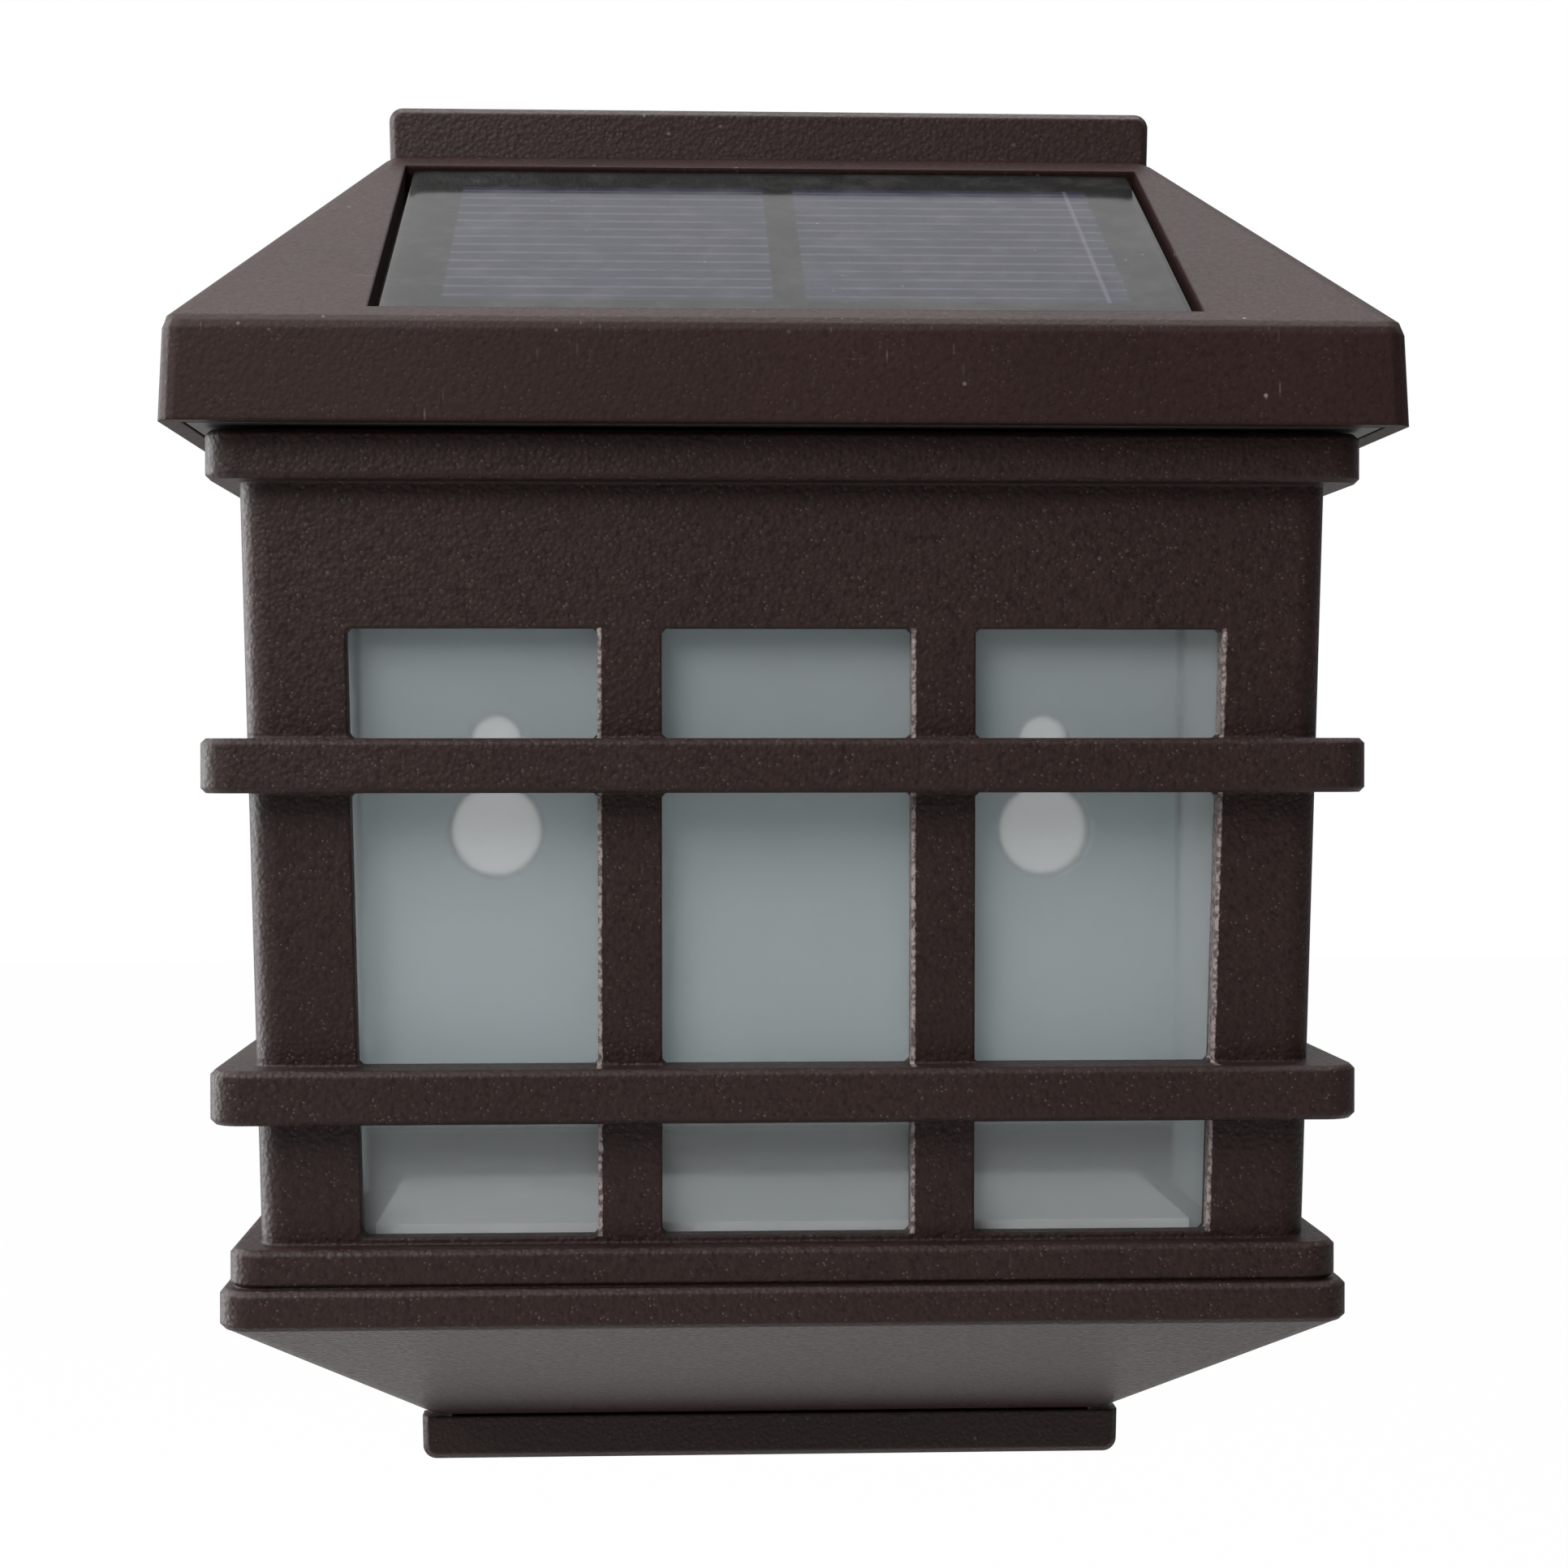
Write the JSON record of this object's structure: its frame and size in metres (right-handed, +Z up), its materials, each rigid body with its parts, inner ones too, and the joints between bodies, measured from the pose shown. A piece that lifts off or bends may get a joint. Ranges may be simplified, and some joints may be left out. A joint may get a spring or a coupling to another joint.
{
  "type": "fence light",
  "caption": "Solar fence lantern in brown plastic: hipped cap with an inset solar panel, banded window grille over a frosted liner, keyhole wall plate.",
  "frame": {"origin": "on the wall, at the middle of the wall plate's back face", "axes": "+Z up, the light faces -Y, the wall is the plane y = 0, +X to the right as seen from in front"},
  "size_m": [0.11, 0.046, 0.1384],
  "materials": {
    "brown_plastic": "fine spark-eroded texture, injection moulded",
    "clear_cover": "gloss, dusty",
    "cell_silicon": "dark silicon with light finger lines",
    "tinned_strip": "satin",
    "backing_board": "matt",
    "adhesive": "soft foam",
    "frosted_plastic": "frosted, translucent",
    "white_plastic": "satin",
    "pale_teal_plastic": "satin",
    "black_plastic": "satin",
    "seal_foam": "closed-cell foam",
    "zinc_steel": "bright zinc plated",
    "cell_can": "printed sleeve left bare",
    "board_green": "solder mask",
    "lamp_epoxy": "clear epoxy",
    "chip_black": "moulded epoxy",
    "ferrite": "matt",
    "red_sheath": "soft PVC",
    "black_sheath": "soft PVC"
  },
  "bodies": {
    "lantern": {"housing": "brown_plastic", "wall_plate": "brown_plastic", "plate_screws": "zinc_steel", "diffuser": "frosted_plastic", "floor_reflector": "white_plastic", "back_reflector": "pale_teal_plastic"},
    "solar_head": {"roof_cap": "brown_plastic", "panel_glass": "clear_cover", "solar_cells": "cell_silicon", "cell_ribbons": "tinned_strip", "panel_backing": "backing_board", "panel_adhesive": "adhesive", "panel_lead_red": "red_sheath", "panel_lead_black": "black_sheath", "head_tray": "black_plastic", "tray_gasket": "seal_foam", "tray_screws": "zinc_steel", "battery_cell": "cell_can", "contact_plate": "zinc_steel", "contact_spring": "zinc_steel", "circuit_board": "board_green", "board_screws": "zinc_steel", "led_left": "lamp_epoxy", "led_right": "lamp_epoxy", "switch_body": "black_plastic", "driver_chip": "chip_black", "inductor": "ferrite"},
    "battery_door": {"battery_door": "black_plastic"},
    "switch_knob": {"switch_knob": "white_plastic"}
  },
  "joints": [
    {"name": "head_lift", "type": "slide", "parent": "lantern", "child": "solar_head", "axis": [0, 0, 1], "range_m": [0, 0.045]},
    {"name": "battery_door_hinge", "type": "hinge", "parent": "solar_head", "child": "battery_door", "pos_m": [0, -0.0247, 0.03315], "axis": [-1, 0, 0], "range_deg": [0, 95]},
    {"name": "switch_slide", "type": "slide", "parent": "solar_head", "child": "switch_knob", "axis": [1, 0, 0], "range_m": [0, 0.003]}
  ]
}
